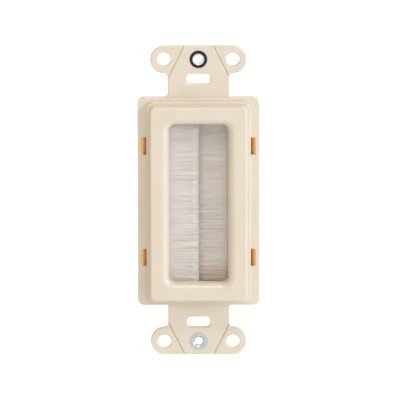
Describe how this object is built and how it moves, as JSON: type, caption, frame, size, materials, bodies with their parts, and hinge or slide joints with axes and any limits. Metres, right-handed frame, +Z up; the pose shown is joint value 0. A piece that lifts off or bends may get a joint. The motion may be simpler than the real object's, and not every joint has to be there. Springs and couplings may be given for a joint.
{
  "type": "brush wall plate insert",
  "caption": "Rectangular strap-mounted wall insert with a raised rolled bezel round a tall window, closed by two facing strip brushes that cables pass between.",
  "frame": {"origin": "centre of the screw pattern, midway between the two box-screw slots, on the back face of the mounting strap", "axes": "+X to the right seen from the front, +Z up along the strap, -Y out of the front of the plate"},
  "size_m": [0.041, 0.0126, 0.1058],
  "materials": {
    "moulded_plastic": "ivory thermoplastic, satin gloss, plain",
    "channel_metal": "rolled strip, dull",
    "wire_steel": "drawn wire",
    "bristle_nylon": "fine pale nylon filaments",
    "insert_black": "blackened serrated rim with a bright machined mouth",
    "insert_zinc": "clear zinc plate"
  },
  "bodies": {
    "root": {"front_frame": "moulded_plastic", "rear_retainer": "moulded_plastic", "left_brush_channel": "channel_metal", "right_brush_channel": "channel_metal", "left_core_wire": "wire_steel", "right_core_wire": "wire_steel", "left_bristles": "bristle_nylon", "right_bristles": "bristle_nylon", "upper_threaded_insert": "insert_black", "lower_threaded_insert": "insert_zinc"}
  },
  "joints": []
}
